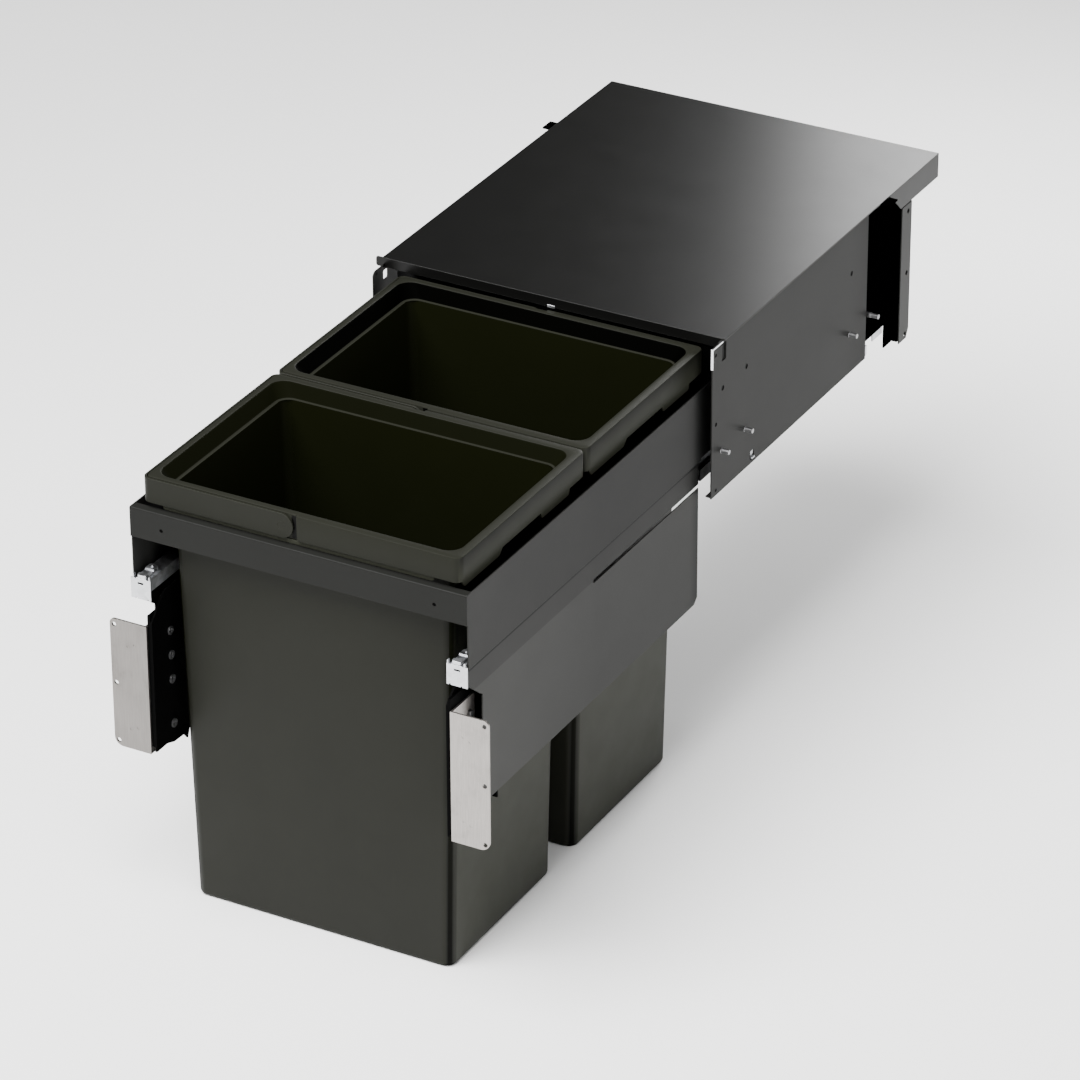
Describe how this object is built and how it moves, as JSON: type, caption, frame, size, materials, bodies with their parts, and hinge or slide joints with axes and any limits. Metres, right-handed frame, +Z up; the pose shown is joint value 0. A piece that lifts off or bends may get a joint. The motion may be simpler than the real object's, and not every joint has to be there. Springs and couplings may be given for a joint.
{
  "type": "pull out bin frame",
  "caption": "Full-extension waste bin pull-out for a base cabinet: covered housing, sheet slider on ball runners, door brackets and lift-out plastic bins with carrying handles.",
  "frame": {"origin": "mid-width, on the front edge plane of the housing sides, level with their bottom edges", "axes": "+X to the right seen from the front, +Y into the cabinet, +Z up; the slider is pulled out towards -Y"},
  "size_m": [0.387, 0.9265, 0.4492],
  "materials": {
    "black_sheet": "satin powder coat",
    "dark_sheet": "satin powder coat",
    "black_steel": "satin powder coat",
    "galvanised_steel": "galvanised",
    "screw_steel": "bright zinc",
    "black_rivets": "black zinc",
    "nickel_steel": "nickel plated",
    "ball_steel": "polished",
    "bin_plastic": "fine grained",
    "cage_plastic": "moulded",
    "clip_plastic": "moulded"
  },
  "bodies": {
    "housing": {"top_cover": "black_sheet", "cover_stiffener": "dark_sheet", "cover_clip": "galvanised_steel", "edge_clip": "clip_plastic", "housing_side_left": "dark_sheet", "housing_side_right": "dark_sheet", "rear_channel_left": "black_steel", "rear_channel_right": "black_steel", "mount_plate_left": "dark_sheet", "mount_plate_right": "dark_sheet", "cabinet_pegs": "screw_steel", "cabinet_rail_left": "galvanised_steel", "cabinet_rail_right": "galvanised_steel"},
    "slider": {"front_rail": "dark_sheet", "front_rail_rivets": "black_rivets", "frame_side_left": "dark_sheet", "frame_side_right": "dark_sheet", "rear_rail": "dark_sheet", "bin_carrier_left": "dark_sheet", "bin_carrier_right": "dark_sheet", "drawer_rail_left": "galvanised_steel", "drawer_rail_right": "galvanised_steel", "runner_front_left": "galvanised_steel", "runner_front_right": "galvanised_steel", "door_bracket_left": "black_steel", "door_bracket_right": "black_steel", "door_bracket_screws": "screw_steel"},
    "middle_left": {"middle_runner_left": "galvanised_steel"},
    "middle_right": {"middle_runner_right": "galvanised_steel"},
    "lower_row_left": {"lower_cage_left": "cage_plastic", "lower_balls_left": "ball_steel"},
    "lower_row_right": {"lower_cage_right": "cage_plastic", "lower_balls_right": "ball_steel"},
    "upper_row_left": {"upper_cage_left": "cage_plastic", "upper_balls_left": "ball_steel"},
    "upper_row_right": {"upper_cage_right": "cage_plastic", "upper_balls_right": "ball_steel"},
    "lever_left": {"release_lever_left": "galvanised_steel"},
    "lever_right": {"release_lever_right": "galvanised_steel"},
    "door_left": {"door_plate_left": "nickel_steel"},
    "door_right": {"door_plate_right": "nickel_steel"},
    "front_bin": {"bin_front": "bin_plastic"},
    "rear_bin": {"bin_rear": "bin_plastic"},
    "front_handle": {"bin_handle_front": "bin_plastic"},
    "rear_handle": {"bin_handle_rear": "bin_plastic"}
  },
  "joints": [
    {"name": "pull_out", "type": "slide", "parent": "housing", "child": "slider", "axis": [0, -1, 0], "range_m": [-0.443, 0]},
    {"name": "middle_slide_left", "type": "slide", "parent": "housing", "child": "middle_left", "axis": [0, -1, 0], "range_m": [-0.2216, 0]},
    {"name": "middle_slide_right", "type": "slide", "parent": "housing", "child": "middle_right", "axis": [0, -1, 0], "range_m": [-0.2216, 0]},
    {"name": "lower_row_slide_left", "type": "slide", "parent": "housing", "child": "lower_row_left", "axis": [0, -1, 0], "range_m": [-0.11085, 0]},
    {"name": "lower_row_slide_right", "type": "slide", "parent": "housing", "child": "lower_row_right", "axis": [0, -1, 0], "range_m": [-0.11085, 0]},
    {"name": "upper_row_slide_left", "type": "slide", "parent": "housing", "child": "upper_row_left", "axis": [0, -1, 0], "range_m": [-0.33235, 0]},
    {"name": "upper_row_slide_right", "type": "slide", "parent": "housing", "child": "upper_row_right", "axis": [0, -1, 0], "range_m": [-0.33235, 0]},
    {"name": "lever_turn_left", "type": "hinge", "parent": "slider", "child": "lever_left", "pos_m": [-0.1599, -0.4245, 0.045], "axis": [0, 0, -1], "range_deg": [0, 8], "stiffness_Nm_per_rad": 0.05},
    {"name": "lever_turn_right", "type": "hinge", "parent": "slider", "child": "lever_right", "pos_m": [0.1599, -0.4245, 0.045], "axis": [0, 0, 1], "range_deg": [0, 8], "stiffness_Nm_per_rad": 0.05},
    {"name": "door_adjust_left", "type": "slide", "parent": "slider", "child": "door_left", "axis": [0, 0, 1], "range_m": [-0.0025, 0.0025]},
    {"name": "door_adjust_right", "type": "slide", "parent": "slider", "child": "door_right", "axis": [0, 0, 1], "range_m": [-0.0025, 0.0025]},
    {"name": "front_bin_lift", "type": "slide", "parent": "slider", "child": "front_bin", "axis": [0, 0, 1], "range_m": [0, 0.46]},
    {"name": "rear_bin_lift", "type": "slide", "parent": "slider", "child": "rear_bin", "axis": [0, 0, 1], "range_m": [0, 0.46]},
    {"name": "front_handle_turn", "type": "hinge", "parent": "front_bin", "child": "front_handle", "pos_m": [-0.018, -0.322, 0.1314], "axis": [0, 1, 0], "range_deg": [0, 90]},
    {"name": "rear_handle_turn", "type": "hinge", "parent": "rear_bin", "child": "rear_handle", "pos_m": [-0.018, -0.093, 0.1314], "axis": [0, 1, 0], "range_deg": [0, 90]}
  ],
  "couplings": [
    {"joint": "middle_slide_left", "follows": "pull_out", "ratio": 0.5},
    {"joint": "middle_slide_right", "follows": "pull_out", "ratio": 0.5},
    {"joint": "lower_row_slide_left", "follows": "pull_out", "ratio": 0.25},
    {"joint": "lower_row_slide_right", "follows": "pull_out", "ratio": 0.25},
    {"joint": "upper_row_slide_left", "follows": "pull_out", "ratio": 0.75},
    {"joint": "upper_row_slide_right", "follows": "pull_out", "ratio": 0.75}
  ]
}
